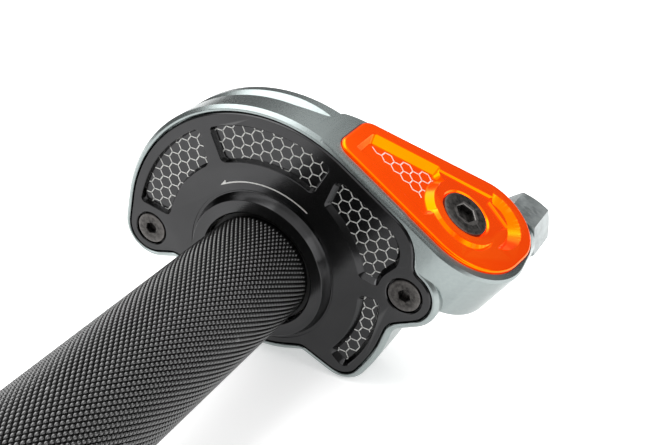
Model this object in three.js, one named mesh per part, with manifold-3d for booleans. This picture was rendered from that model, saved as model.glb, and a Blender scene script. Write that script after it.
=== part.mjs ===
// Quick-action throttle grip for the right end of a motorcycle handlebar.
//
// Frame: the handlebar axis is the Y axis. The free end of the grip points to -Y and the middle
// of the handlebar lies towards +Y. +X points forward and +Z up. The origin is on the handlebar
// axis, in the plane of the front cover's outer face. Lengths are in millimetres, angles in degrees.
//
// The tail of the housing slopes down and forward. Its pieces are modelled in a frame of their own,
// (s, y, h): s runs along the tail, y is the common Y axis and h is the height above the handlebar
// axis, square to the tail's top face.

import * as THREE from "three";
import { mergeVertices } from "three/addons/utils/BufferGeometryUtils.js";
import Module from "manifold-3d";

const wasm = await Module();
wasm.setup();

// ---- Driving dimensions ------------------------------------------------------------------------

const GAP = 0.3; // clearance between pieces that rest against each other
const BEYOND = 60; // far enough out for a cutter to pass right through

const BAR_BORE = 11.4; // radius that slides over a 22.2 mm handlebar
const TUBE_RADIUS = 13;
const TUBE_FRONT = -119.5;
const TUBE_BACK = 14.2;
const GRIP_RADIUS = 16;
const GRIP_FRONT = -123;
const GRIP_BACK = -0.9;

const COVER_THICKNESS = 3.2;
const COLLAR_HEIGHT = 3;
const COLLAR_HOLE = 17.2;
const COLLAR_BASE = 22.5;
const COLLAR_TOP = 21.2;
const POCKET_DEPTH = 1.3;
const POCKET_INSET = 2.5;
const POCKET_INNER_RADIUS = 31.2;
const COVER_POCKETS = [[119, 165.5], [58.5, 110.2], [7.5, 50.5], [-45, -1]];

const RIM = 2; // width of the housing's rim outside the cover
const HOUSING_BACK = 16;
const HOUSING_CHAMFER = 1;
const SADDLE_FRONT = 14; // where the clamp's fixed half grows out of the housing
const GROOVE_DEPTH = 1.8; // wedge-shaped groove round the top of the casing
const GROOVE_TIP = 68.5; // angle at which it runs out
const GROOVE_END = 188;
const GROOVE_FADE = 12;
const GROOVE_STEP = 7.45;
const CAVITY_RADIUS = 38.6;
const CAVITY_BACK = 10.9;
const LEFT_BOSS_RADIUS = 8;

const TAIL_SLOPE = 36.74;
const TAIL_TOP = 46.6;
const TAIL_BOTTOM = 29.5;
const TAIL_CHAMFER = 0.8;
const TAIL_FLOOR = 32.6;
const PLATE_TOP = 47.4;
const PLATE_LIP = 45.6; // underside of the plate's thin edge
const PLATE_BOTTOM = 43.5; // underside of the thicker middle
const PLATE_LIP_WIDTH = 2.4;
const BOSS_RADIUS = 9.9; // flat round the plate's screw
const PANEL_DEPTH = 1.9; // sunk panel in the plate's long end
const RECESS_DEPTH = 1.3; // grooves round the plate's screw
const ROLLER_S = 29.7; // place of the roller's axle along the tail
const ROLLER_Y = 20.6;
const ROLLER_RADIUS = 14.6;
const ROLLER_POCKET = 15.7;
const AXLE_RADIUS = 3.7;

const WIRE_RADIUS = 36.5; // pitch radius of the inner wire on the drum
const WIRE_Y = 7.1;
const WIRE_SLOT_HALF = 2.1; // half the height and width of the passage from drum to roller
const DRUM_RADIUS = 37.9;
const DRUM_FRONT = 4.1;
const DRUM_BACK = 10.1;
const DRUM_FROM = -36; // lower end of the drum's sector, with the throttle closed
const DRUM_TO = 80;
const FLANGE_RADIUS = 20.3;
const FLANGE_FRONT = 4.2;
const FLANGE_BACK = 6.2;
const DRUM_SCREW_CIRCLE = 16.8;

const BUSH_RADIUS = 15.5;
const BUSH_FLANGE_RADIUS = 19;
const BUSH_FRONT = 10.4;
const BUSH_FLANGE_BACK = 11.3;
const BUSH_BACK = 14.6;
const GLIDE_RING_RADIUS = 19.9;

const M5_HEAD = 4.75;
const M5_HEAD_HEIGHT = 1.9;
const M5_CORE = 2.2;
const M5_CLEARANCE = 2.7;
const M5_THREAD_HOLE = 2.5;
const M5_LENGTH = 13;
const M5_SOCKET = 3;
const M8_HEAD = 7;
const M8_HEAD_HEIGHT = 2.2;
const M8_SOCKET = 5;
const LEFT_SCREW = [-37.9, 1.8];
const RIGHT_SCREW = [44, 3];

const ADJUSTER_S = 44;
const ADJUSTER_FRONT = 42.7;
const ADJUSTER_BACK = 56.1;
const ADJUSTER_HEX = 8.9; // corner radius of the hexagon
const ADJUSTER_TURN = 11; // angle of one corner, seen along the bore
const ADJUSTER_BOSS = 8.2;
const ADJUSTER_THREAD = 4.7;
const ADJUSTER_THREAD_FRONT = 34.5;

const CLAMP_HALF_WIDTH = 22;
const CLAMP_HALF_HEIGHT = 9;
const CLAMP_RADIUS = 17.5;
const CLAMP_BACK = 31;
const CLAMP_BOLT_X = 16.6;
const CLAMP_BOLT_Y = 23.7;
const CLAMP_SLOT = 0.6; // half the gap between the clamp's halves
const CLAMP_HEAD = 4.5;
const CLAMP_HEAD_BOTTOM = -12.2;
const CLAMP_HEAD_TOP = -7.7;
const CLAMP_SOCKET = 4;

// Outlines are belts round circles: [across, up, radius]. A negative radius is a hollow corner.
const COVER_BELT = [
  [-0.6, 1, 44.1], // arc over the drum
  [...LEFT_SCREW, 7.6],
  [-30.5, -9.4, -5],
  [0, 0, 25.4], // lower arc round the grip
  [12.3, -27.2, -4],
  [24.9, -21.6, 6.6], // lower lobe
  [0, 0, 39.4],
  [43.6, -11.5, -5.5],
  [...RIGHT_SCREW, 7.7],
  [50.3, 12.9, -4],
  [34.3, 15.1, 12], // shoulder
];
const PLATE_BELT = [
  [ROLLER_S, 21.9, 19.3],
  [35.3, 27, 14.2],
  [-1.5, 15.7, 5],
  [-2.3, 6.8, 4.2],
];
const TAIL_BELT = [
  [ROLLER_S + 0.6, 20.9, 20.9],
  [35.3, 27, 15.3],
  [-10.3, 14.8, 2],
  [-9, 1, 1],
];

// ---- Outlines ----------------------------------------------------------------------------------

const DEG = Math.PI / 180;

// Points on an arc, about one for each `step` degrees.
function arc(x, y, radius, from, to, step = 8) {
  const count = Math.max(1, Math.ceil(Math.abs(to - from) / step));
  return Array.from({ length: count + 1 }, (_, i) => {
    const angle = (from + ((to - from) * i) / count) * DEG;
    return new THREE.Vector2(x + radius * Math.cos(angle), y + radius * Math.sin(angle));
  });
}

// Where the straight run from one circle of a belt to the next leaves and lands, as one angle.
function tangentAngle([x1, y1, r1], [x2, y2, r2]) {
  const direction = Math.atan2(y2 - y1, x2 - x1);
  return (direction - Math.asin((r2 - r1) / Math.hypot(x2 - x1, y2 - y1))) / DEG - 90;
}

// A closed outline round circles, counter-clockwise, moved outwards by `offset`.
function belt(circles, offset = 0) {
  return circles.flatMap((circle, i) => {
    const before = circles[(i + circles.length - 1) % circles.length];
    const after = circles[(i + 1) % circles.length];
    const [x, y] = circle;
    const radius = circle[2] + offset;
    const from = tangentAngle(before, circle);
    let sweep = (((tangentAngle(circle, after) - from) % 360) + 360) % 360;
    if (circle[2] < 0 && sweep > 0) sweep -= 360;
    return arc(x, y, radius, from, from + sweep, Math.abs(radius) > 15 ? 6 : 24);
  });
}

// A sector of a ring between two radii and two angles.
function ringSector(inner, outer, from, to) {
  return [...arc(0, 0, outer, from, to), ...arc(0, 0, inner, to, from)];
}

// ---- Solids ------------------------------------------------------------------------------------

// Turns a closed three.js geometry into a solid with its faces pointing out.
function solid(geometry) {
  const bare = geometry.index ? geometry.clone() : geometry;
  bare.deleteAttribute("normal");
  bare.deleteAttribute("uv");
  const merged = mergeVertices(bare, 1e-4);
  const place = merged.attributes.position;
  const [a, b, c] = [new THREE.Vector3(), new THREE.Vector3(), new THREE.Vector3()];
  const triangles = [];
  let volume = 0;
  for (let i = 0; i < merged.index.count; i += 3) {
    const corners = [0, 1, 2].map((k) => merged.index.getX(i + k));
    if (new Set(corners).size < 3) continue;
    a.fromBufferAttribute(place, corners[0]);
    b.fromBufferAttribute(place, corners[1]);
    c.fromBufferAttribute(place, corners[2]);
    volume += a.dot(b.cross(c));
    triangles.push(corners);
  }
  if (volume < 0) triangles.forEach((corners) => corners.reverse());
  return new wasm.Manifold(
    new wasm.Mesh({
      numProp: 3,
      vertProperties: new Float32Array(place.array),
      triVerts: new Uint32Array(triangles.flat()),
    }),
  );
}

// An outline in (x, z) made solid from y0 to y1, with its edges cut off by `chamfer`.
function slabY(outline, y0, y1, chamfer = 0) {
  const geometry = slabGeometry(outline, y1 - y0, chamfer);
  geometry.rotateX(90 * DEG);
  geometry.translate(0, y1, 0);
  return solid(geometry);
}

// An outline in (s, y) of the tail's frame made solid from h0 to h1.
function slabH(outline, h0, h1, chamfer = 0) {
  const geometry = slabGeometry(outline, h1 - h0, chamfer);
  geometry.translate(0, 0, h0);
  return solid(geometry);
}

function slabGeometry(outline, depth, chamfer) {
  const geometry = new THREE.ExtrudeGeometry(new THREE.Shape(outline), {
    depth: depth - 2 * chamfer,
    bevelEnabled: chamfer > 0,
    bevelThickness: chamfer,
    bevelSize: chamfer,
    bevelOffset: -chamfer,
    bevelSegments: 1,
  });
  return geometry.translate(0, 0, chamfer);
}

// A turned solid about the Y axis from a profile of [radius, y] points.
function turnedY(profile, segments = 40, x = 0, z = 0) {
  const points = profile.map(([radius, y]) => new THREE.Vector2(radius, y));
  const closed = profile[0][0] === 0 ? points : [...points, points[0].clone()];
  return solid(new THREE.LatheGeometry(closed, segments).translate(x, 0, z));
}

// A turned solid about the roller's axle, from a profile of [radius, h] points.
function turnedH(profile, segments = 32) {
  const points = profile.map(([radius, h]) => new THREE.Vector2(radius, h));
  const closed = profile[0][0] === 0 ? points : [...points, points[0].clone()];
  const geometry = new THREE.LatheGeometry(closed, segments).rotateX(90 * DEG);
  return solid(geometry.translate(ROLLER_S, ROLLER_Y, 0));
}

function discY(radius, y0, y1, [x, z] = [0, 0], segments = 20) {
  return turnedY([[0, y0], [radius, y0], [radius, y1], [0, y1]], segments, x, z);
}

function discH(radius, h0, h1, segments = 20) {
  return turnedH([[0, h0], [radius, h0], [radius, h1], [0, h1]], segments);
}

function box(x0, x1, y0, y1, z0, z1) {
  const geometry = new THREE.BoxGeometry(x1 - x0, y1 - y0, z1 - z0);
  return solid(geometry.translate((x0 + x1) / 2, (y0 + y1) / 2, (z0 + z1) / 2));
}

// Carries a solid from the tail's frame to the common frame.
function fromTail(body) {
  return body.rotate([0, TAIL_SLOPE, 0]);
}

function geometryOf(body) {
  const mesh = body.getMesh();
  const geometry = new THREE.BufferGeometry();
  geometry.setAttribute("position", new THREE.BufferAttribute(mesh.vertProperties, 3));
  geometry.setIndex(new THREE.BufferAttribute(mesh.triVerts, 1));
  geometry.computeVertexNormals();
  return geometry;
}

// ---- Materials ---------------------------------------------------------------------------------

function finish(color, roughness, metalness) {
  return () => new THREE.MeshStandardMaterial({ color, roughness, metalness });
}

const titaniumAnodised = finish(0x76807f, 0.38, 0.9);
const blackAnodised = finish(0x1b1b1c, 0.35, 0.8);
const orangeAnodised = finish(0xff5a00, 0.3, 0.9);
const blackOxide = finish(0x35322f, 0.45, 0.8);
const blackRubber = finish(0x141414, 0.65, 0);
const bareAluminium = finish(0xb9bdc0, 0.35, 0.95);
const bearingSteel = finish(0xc8c8c6, 0.2, 1);
const slidingPlastic = finish(0xe6e2d6, 0.55, 0);

const throttleGrip = new THREE.Group();
const tail = new THREE.Group();
tail.rotation.y = TAIL_SLOPE * DEG;
throttleGrip.add(tail);

function addTo(group, name, body, material) {
  const mesh = new THREE.Mesh(geometryOf(body), material());
  mesh.name = name;
  group.add(mesh);
}

const add = (name, body, material) => addTo(throttleGrip, name, body, material);
const addInTail = (name, body, material) => addTo(tail, name, body, material);

// ---- Fixed casing ------------------------------------------------------------------------------

// Everything under the main arc and under the tail's top plane.
function envelope() {
  const [x, z, radius] = COVER_BELT[0];
  const reach = 80;
  const slope = TAIL_SLOPE * DEG;
  const far = [x + reach * Math.cos(slope), z - reach * Math.sin(slope), radius + RIM + 0.1];
  return slabY(belt([[x, z, radius + RIM + 0.1], far]), -1, BEYOND);
}

// A wedge-shaped groove round the top of the casing, which runs out towards the tail.
function topGroove() {
  const [x, z, radius] = COVER_BELT[0];
  const outer = radius + RIM;
  const tip = 11.4;
  const sections = [];
  for (let angle = GROOVE_TIP; angle <= GROOVE_END; angle += GROOVE_STEP) {
    const full = Math.min(1, ((angle - GROOVE_TIP) / GROOVE_FADE) ** 0.6);
    const front = tip - 2.9 * full;
    const back = tip + 0.1 + 1.4 * full;
    const floor = outer - GROOVE_DEPTH * full;
    const profile = [[outer + 1, front], [outer + 1, back], [outer, back], [floor, front]];
    sections.push(
      profile.map(([r, y]) => [x + r * Math.cos(angle * DEG), y, z + r * Math.sin(angle * DEG)]),
    );
  }
  return loft(sections);
}

// A closed solid through equal cross-sections.
function loft(sections) {
  const size = sections[0].length;
  const triangles = [];
  const point = (i, k) => i * size + (k % size);
  for (let i = 0; i + 1 < sections.length; i++) {
    for (let k = 0; k < size; k++) {
      triangles.push(point(i, k), point(i, k + 1), point(i + 1, k + 1));
      triangles.push(point(i, k), point(i + 1, k + 1), point(i + 1, k));
    }
  }
  const last = sections.length - 1;
  for (let k = 1; k + 1 < size; k++) {
    triangles.push(point(0, 0), point(0, k + 1), point(0, k));
    triangles.push(point(last, 0), point(last, k), point(last, k + 1));
  }
  const geometry = new THREE.BufferGeometry();
  geometry.setAttribute("position", new THREE.Float32BufferAttribute(sections.flat(2), 3));
  geometry.setIndex(triangles);
  return solid(geometry);
}

function housing() {
  const drumCase = slabY(belt(COVER_BELT, RIM), 0, HOUSING_BACK, HOUSING_CHAMFER);
  const tailBlock = slabH(belt(TAIL_BELT), TAIL_BOTTOM, TAIL_TOP, TAIL_CHAMFER);
  // In the tail's frame the Y axis is shared and h takes the place of z.
  const adjusterAt = [ADJUSTER_S, WIRE_RADIUS];
  const boss = discY(ADJUSTER_BOSS, 30, ADJUSTER_FRONT - GAP, adjusterAt, 32);
  const tailBody = fromTail(tailBlock.add(boss)).intersect(envelope());
  const saddleRing = slabY(arc(0, 0, CLAMP_RADIUS, 2, 178), SADDLE_FRONT, CLAMP_BACK);
  const width = CLAMP_HALF_WIDTH;
  const saddleLugs = box(-width, width, SADDLE_FRONT, CLAMP_BACK, CLAMP_SLOT, CLAMP_HALF_HEIGHT);

  const cavity = slabY(arc(0, 0, CAVITY_RADIUS, 0, 352), 3, CAVITY_BACK)
    .intersect(slabY(belt(COVER_BELT, -0.8), 3, CAVITY_BACK))
    .subtract(discY(LEFT_BOSS_RADIUS, 2, 12, LEFT_SCREW));
  const barBore = turnedY([
    [0, BUSH_FRONT - 0.4], [BUSH_FLANGE_RADIUS + GAP, BUSH_FRONT - 0.4],
    [BUSH_FLANGE_RADIUS + GAP, BUSH_FLANGE_BACK + GAP], [BUSH_RADIUS + GAP, BUSH_FLANGE_BACK + GAP],
    [BUSH_RADIUS + GAP, BUSH_BACK + GAP], [BAR_BORE, BUSH_BACK + GAP], [BAR_BORE, BEYOND],
    [0, BEYOND],
  ]);
  const boltHoles = [-1, 1].map((side) => clampHole(side, 0, 7.5));
  const coverScrews = [LEFT_SCREW, RIGHT_SCREW];
  const screwHoles = coverScrews.map((at) => discY(M5_THREAD_HOLE, 3, M5_LENGTH + 1, at, 16));

  const rollerPocket = discH(ROLLER_POCKET, TAIL_FLOOR, BEYOND, 36);
  const plateSeat = slabH(belt(PLATE_BELT, GAP), PLATE_LIP - GAP, BEYOND).add(
    slabH(belt(PLATE_BELT, GAP - PLATE_LIP_WIDTH), PLATE_BOTTOM - GAP, BEYOND),
  );
  const wireSlot = box(
    -5, ROLLER_S, WIRE_Y - WIRE_SLOT_HALF, WIRE_Y + WIRE_SLOT_HALF,
    WIRE_RADIUS - WIRE_SLOT_HALF, WIRE_RADIUS + WIRE_SLOT_HALF,
  );
  const axleHole = discH(AXLE_RADIUS + GAP, 20, 40);
  const adjusterHole = discY(ADJUSTER_THREAD + GAP, 26, 45, adjusterAt);
  const tailHollow = rollerPocket.add(plateSeat).add(wireSlot).add(axleHole).add(adjusterHole);

  return [
    slabY(belt(COVER_BELT, GAP), -1, COVER_THICKNESS + GAP),
    cavity,
    barBore,
    fromTail(tailHollow),
    topGroove(),
    ...boltHoles,
    ...screwHoles,
  ].reduce(
    (body, cut) => body.subtract(cut),
    drumCase.add(tailBody).add(saddleRing).add(saddleLugs),
  );
}

// A vertical bolt hole through the handlebar clamp on one side.
function clampHole(side, z0, z1, radius = 2.6) {
  return upright(radius, z0, z1, side * CLAMP_BOLT_X, CLAMP_BOLT_Y);
}

// A cylinder along the Z axis.
function upright(radius, z0, z1, x, y, segments = 20) {
  const geometry = new THREE.CylinderGeometry(radius, radius, z1 - z0, segments);
  geometry.rotateX(90 * DEG);
  return solid(geometry.translate(x, y, (z0 + z1) / 2));
}

function frontCover() {
  const plate = slabY(belt(COVER_BELT), 0, COVER_THICKNESS, 0.4);
  const collar = turnedY([
    [0, -COLLAR_HEIGHT], [COLLAR_TOP, -COLLAR_HEIGHT], [COLLAR_BASE, 0], [COLLAR_BASE, 1], [0, 1],
  ]);
  const inset = slabY(belt(COVER_BELT, -POCKET_INSET), -1, POCKET_DEPTH);
  const screwLand = discY(7.7, -2, 3, RIGHT_SCREW);
  const pockets = COVER_POCKETS.map(([from, to]) =>
    slabY(ringSector(POCKET_INNER_RADIUS, 60, from, to), -1, POCKET_DEPTH)
      .intersect(inset)
      .subtract(screwLand),
  );
  const bore = turnedY([
    [0, -5], [COLLAR_HOLE, -5], [COLLAR_HOLE, 2.4], [GLIDE_RING_RADIUS + GAP, 2.4],
    [GLIDE_RING_RADIUS + GAP, 5], [0, 5],
  ]);
  const seatDepth = M5_HEAD_HEIGHT + GAP;
  const screwSeats = [LEFT_SCREW, RIGHT_SCREW].map((at) =>
    discY(M5_HEAD + 0.45, -1, seatDepth, at).add(discY(M5_CLEARANCE, -1, 5, at, 16)),
  );
  return [bore, ...pockets, ...screwSeats].reduce((body, cut) => body.subtract(cut), plate.add(collar));
}

function rollerCoverPlate() {
  const lip = slabH(belt(PLATE_BELT), PLATE_LIP, PLATE_TOP, 0.4);
  const plate = lip.add(slabH(belt(PLATE_BELT, -PLATE_LIP_WIDTH), PLATE_BOTTOM, PLATE_LIP + 1));
  const counterbore = discH(M8_HEAD + 0.4, PLATE_TOP - 2.6, BEYOND, 24);
  const hole = discH(AXLE_RADIUS + 0.4, 40, BEYOND);
  const panel = slabH(
    [[-1.3, 5.6], [17, 5.6], [17, 25], [15.4, 26.2], [-1.3, 16.6]].map(
      ([s, y]) => new THREE.Vector2(s, y),
    ),
    PLATE_TOP - PANEL_DEPTH,
    BEYOND,
  ).subtract(discH(BOSS_RADIUS, 40, BEYOND, 32));
  const floor = PLATE_TOP - RECESS_DEPTH;
  const nearGroove = slabH(ringSector(BOSS_RADIUS, 11.5, -165, -15), floor, BEYOND);
  const farGroove = slabH(ringSector(6.6, 9.2, -30, 112), floor, BEYOND);
  const [cornerS, cornerY] = PLATE_BELT[1];
  return [
    counterbore,
    hole,
    panel,
    nearGroove.translate([ROLLER_S, ROLLER_Y, 0]),
    farGroove.translate([cornerS, cornerY, 0]),
  ].reduce((body, cut) => body.subtract(cut), plate);
}

// The lower half of the handlebar clamp.
function barClampCap() {
  const front = HOUSING_BACK + GAP;
  const ring = slabY(arc(0, 0, CLAMP_RADIUS, 182, 358), front, CLAMP_BACK);
  const width = CLAMP_HALF_WIDTH;
  const lugs = box(-width, width, front, CLAMP_BACK, -CLAMP_HALF_HEIGHT, -CLAMP_SLOT);
  const bore = discY(BAR_BORE, 0, BEYOND, [0, 0], 40);
  const holes = [-1, 1].map((side) =>
    clampHole(side, -14, 2).add(clampHole(side, -14, CLAMP_HEAD_TOP + GAP, CLAMP_HEAD + 0.45)),
  );
  return [bore, ...holes].reduce((body, cut) => body.subtract(cut), ring.add(lugs));
}

add("housing", housing(), titaniumAnodised);
add("front_cover", frontCover(), blackAnodised);
add("bar_clamp_cap", barClampCap(), titaniumAnodised);
addInTail("roller_cover_plate", rollerCoverPlate(), orangeAnodised);

// ---- Fasteners ---------------------------------------------------------------------------------

// A button-head screw pointing along +Y from its head at y0, with a hexagon socket.
function screwY(headRadius, headHeight, shankRadius, length, socket, y0, [x, z]) {
  const body = turnedY([
    [0, y0], [headRadius - 0.4, y0], [headRadius, y0 + 0.4], [headRadius, y0 + headHeight],
    [shankRadius, y0 + headHeight], [shankRadius, y0 + length], [0, y0 + length],
  ], 18, x, z);
  const depth = headHeight * 0.7;
  const hexagon = new THREE.CylinderGeometry(socket / Math.sqrt(3), socket / Math.sqrt(3), depth + 1, 6);
  return body.subtract(solid(hexagon.translate(x, y0 + depth / 2 - 0.5, z)));
}

function rollerAxleScrew() {
  const top = PLATE_TOP - 0.1;
  const head = top - M8_HEAD_HEIGHT;
  const end = TAIL_BOTTOM + 0.4;
  const body = turnedH([
    [0, end], [AXLE_RADIUS, end], [AXLE_RADIUS, head], [M8_HEAD, head], [M8_HEAD, top - 0.6],
    [M8_HEAD - 0.6, top], [0, top],
  ], 24);
  const corner = M8_SOCKET / Math.sqrt(3);
  const hexagon = new THREE.CylinderGeometry(corner, corner, 3, 6).rotateX(90 * DEG);
  return body.subtract(solid(hexagon.translate(ROLLER_S, ROLLER_Y, top + 0.1)));
}

function clampBolt(side) {
  const x = side * CLAMP_BOLT_X;
  const head = upright(CLAMP_HEAD, CLAMP_HEAD_BOTTOM, CLAMP_HEAD_TOP, x, CLAMP_BOLT_Y, 24);
  const shank = upright(2.3, CLAMP_HEAD_TOP - GAP, 7, x, CLAMP_BOLT_Y, 16);
  const corner = CLAMP_SOCKET / Math.sqrt(3);
  const hexagon = new THREE.CylinderGeometry(corner, corner, 5, 6).rotateX(90 * DEG);
  return head.add(shank).subtract(solid(hexagon.translate(x, CLAMP_BOLT_Y, CLAMP_HEAD_BOTTOM)));
}

function coverScrew(at) {
  return screwY(M5_HEAD, M5_HEAD_HEIGHT, M5_CORE, M5_LENGTH, M5_SOCKET, 0, at);
}

add("cover_screw_left", coverScrew(LEFT_SCREW), blackOxide);
add("cover_screw_right", coverScrew(RIGHT_SCREW), blackOxide);
add("clamp_bolt_left", clampBolt(-1), blackOxide);
add("clamp_bolt_right", clampBolt(1), blackOxide);
addInTail("roller_axle_screw", rollerAxleScrew(), blackOxide);

// ---- Twisting grip and cable drum --------------------------------------------------------------

const DRUM_SCREW_ANGLES = [45, 135, 225, 315];
const drumScrewPlaces = DRUM_SCREW_ANGLES.map((angle) => [
  DRUM_SCREW_CIRCLE * Math.cos(angle * DEG),
  DRUM_SCREW_CIRCLE * Math.sin(angle * DEG),
]);

function throttleTube() {
  const tube = turnedY([
    [BAR_BORE, TUBE_FRONT], [TUBE_RADIUS, TUBE_FRONT], [TUBE_RADIUS, FLANGE_FRONT],
    [FLANGE_RADIUS, FLANGE_FRONT], [FLANGE_RADIUS, FLANGE_BACK], [TUBE_RADIUS, FLANGE_BACK],
    [TUBE_RADIUS, TUBE_BACK], [BAR_BORE, TUBE_BACK],
  ]);
  const seats = drumScrewPlaces.map((at) => discY(2.8, 3, 5.3, at, 16).add(discY(1.7, 3, 8, at, 12)));
  return seats.reduce((body, cut) => body.subtract(cut), tube);
}

// The cable drum: a hub with a sector that carries the wire groove.
function cableDrum() {
  const sector = slabY(
    [...arc(0, 0, DRUM_RADIUS, DRUM_FROM, DRUM_TO), ...arc(0, 0, 12, DRUM_TO + 12, DRUM_FROM - 12)],
    DRUM_FRONT,
    DRUM_BACK,
  );
  const hub = discY(FLANGE_RADIUS + 1.6, DRUM_FRONT, DRUM_BACK, [0, 0], 40);
  const flangeSeat = discY(FLANGE_RADIUS + GAP, 0, FLANGE_BACK + GAP, [0, 0], 40);
  const bore = discY(TUBE_RADIUS + GAP, 0, 20, [0, 0], 40);
  const groove = turnedY([
    [WIRE_RADIUS - 0.8, WIRE_Y - 0.7], [40, WIRE_Y - 1.5], [40, WIRE_Y + 1.5],
    [WIRE_RADIUS - 0.8, WIRE_Y + 0.7],
  ]);
  const windows = [[-28, 6], [14, 48]].map(([from, to]) =>
    slabY(ringSector(24.5, 31.5, from, to), 0, 20),
  );
  const nippleAngle = 74 * DEG;
  const nipple = [34.6 * Math.cos(nippleAngle), 34.6 * Math.sin(nippleAngle)];
  const nippleSeat = discY(2.7, 0, WIRE_Y + 2.4, nipple, 16);
  const screwHoles = drumScrewPlaces.map((at) => discY(1.7, 3, 20, at, 12));
  return [flangeSeat, bore, groove, ...windows, nippleSeat, ...screwHoles].reduce(
    (body, cut) => body.subtract(cut),
    sector.add(hub),
  );
}

function gripSleeve() {
  const inner = TUBE_RADIUS + GAP;
  const wallBack = TUBE_FRONT - GAP;
  return turnedY([
    [0, GRIP_FRONT], [GRIP_RADIUS - 2, GRIP_FRONT], [GRIP_RADIUS, GRIP_FRONT + 2],
    [GRIP_RADIUS, GRIP_BACK], [inner, GRIP_BACK], [inner, wallBack], [0, wallBack],
  ]);
}

add("throttle_tube", throttleTube(), blackAnodised);
add("cable_drum", cableDrum(), bareAluminium);
add("grip_sleeve", gripSleeve(), blackRubber);
drumScrewPlaces.forEach((at, i) => {
  add(`drum_screw_${i + 1}`, screwY(2.5, 1.1, 1.4, 5.6, 2, FLANGE_FRONT - 0.2, at), blackOxide);
});

// ---- Bushes and seal ---------------------------------------------------------------------------

const TUBE_CLEAR = TUBE_RADIUS + GAP;

const frontGlideRing = turnedY([
  [TUBE_CLEAR, 2.7], [GLIDE_RING_RADIUS, 2.7], [GLIDE_RING_RADIUS, 3.9], [TUBE_CLEAR, 3.9],
]);
const rearBush = turnedY([
  [TUBE_CLEAR, BUSH_FRONT], [BUSH_FLANGE_RADIUS, BUSH_FRONT], [BUSH_FLANGE_RADIUS, BUSH_FLANGE_BACK],
  [BUSH_RADIUS, BUSH_FLANGE_BACK], [BUSH_RADIUS, BUSH_BACK], [TUBE_CLEAR, BUSH_BACK],
]);
const dustSeal = turnedY([[TUBE_CLEAR, -0.5], [16.9, -0.5], [16.9, 1.7], [TUBE_CLEAR, 1.7]]);

add("front_glide_ring", frontGlideRing, slidingPlastic);
add("rear_bush", rearBush, slidingPlastic);
add("dust_seal", dustSeal, blackRubber);

// ---- Cable roller and its bearing --------------------------------------------------------------

const BEARING_LOW = 34;
const BEARING_HIGH = 39;
const BALL_CIRCLE = 6.1;
const BALL_RADIUS = 0.85;
const BALL_COUNT = 9;

function ring(inner, outer, h0, h1, segments = 24) {
  return turnedH([[inner, h0], [outer, h0], [outer, h1], [inner, h1]], segments);
}

const cableRoller = turnedH([
  [7.3, 33.2], [ROLLER_RADIUS, 33.2], [ROLLER_RADIUS, 34.8], [12.7, 36], [12.7, 37],
  [ROLLER_RADIUS, 38.2], [ROLLER_RADIUS, 39.8], [8.3, 39.8], [8.3, 33.7], [7.3, 33.7],
]);

// The balls with the cage that spaces them, as one solid.
function ballCage() {
  const middle = (BEARING_LOW + BEARING_HIGH) / 2;
  let body = ring(BALL_CIRCLE - 0.35, BALL_CIRCLE + 0.35, middle - 0.9, middle + 0.9);
  for (let i = 0; i < BALL_COUNT; i++) {
    const angle = (i * 360 * DEG) / BALL_COUNT;
    const ball = new THREE.SphereGeometry(BALL_RADIUS, 6, 4);
    const s = ROLLER_S + BALL_CIRCLE * Math.cos(angle);
    const y = ROLLER_Y + BALL_CIRCLE * Math.sin(angle);
    body = body.add(solid(ball.translate(s, y, middle)));
  }
  return body;
}

addInTail("cable_roller", cableRoller, bareAluminium);
addInTail("bearing_outer_race", ring(7.1, 8, BEARING_LOW, BEARING_HIGH), bearingSteel);
addInTail("bearing_inner_race", ring(4, 5.1, BEARING_LOW, BEARING_HIGH), bearingSteel);
addInTail("bearing_ball_cage", ballCage(), bearingSteel);
addInTail("bearing_shield_lower", ring(5.4, 6.8, 34.1, 34.5), bearingSteel);
addInTail("bearing_shield_upper", ring(5.4, 6.8, 38.5, 38.9), bearingSteel);
addInTail("roller_spacer_lower", ring(4, 5.5, TAIL_FLOOR + 0.2, BEARING_LOW - 0.2), bareAluminium);
addInTail("roller_spacer_upper", ring(4, 5.5, BEARING_HIGH + 0.2, PLATE_BOTTOM - 0.2), bareAluminium);

// ---- Cable adjuster ----------------------------------------------------------------------------

// A hollow hexagon barrel that screws into the back of the tail and takes the cable's outer casing.
function cableAdjuster() {
  const hexagon = Array.from({ length: 6 }, (_, i) => arc(0, 0, ADJUSTER_HEX, i * 60, i * 60)[0]);
  const angle = ADJUSTER_TURN * DEG;
  hexagon.forEach((corner) => corner.rotateAround(new THREE.Vector2(), angle));
  const barrel = slabY(hexagon, ADJUSTER_FRONT, ADJUSTER_BACK);
  const outer = ADJUSTER_HEX + 0.12;
  const roundedEnd = turnedY([
    [0, 0], [outer, 0], [outer, ADJUSTER_BACK - 1], [outer - 1.6, ADJUSTER_BACK], [0, ADJUSTER_BACK],
  ], 24);
  const thread = discY(ADJUSTER_THREAD, ADJUSTER_THREAD_FRONT, ADJUSTER_FRONT + 1);
  const bore = turnedY([[0, 0], [1.6, 0], [1.6, 49], [3.1, 49], [3.1, BEYOND], [0, BEYOND]], 24);
  return barrel.intersect(roundedEnd).add(thread).subtract(bore).translate([ADJUSTER_S, 0, WIRE_RADIUS]);
}

addInTail("cable_adjuster", cableAdjuster(), titaniumAnodised);

export default throttleGrip;
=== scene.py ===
"""Looks of a motorcycle quick-action throttle grip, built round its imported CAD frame.

Shapes are worked out in millimetres and scaled to metres as each piece is finished. The handlebar
axis is Y, the grip's free end points to -Y and the cover's outer face lies at y = 0. The tail's
pieces are worked out in a frame of their own, (s, y, h): s runs down along the tail and h is the
height above the handlebar axis, square to the tail's top face.
"""

import math

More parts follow.
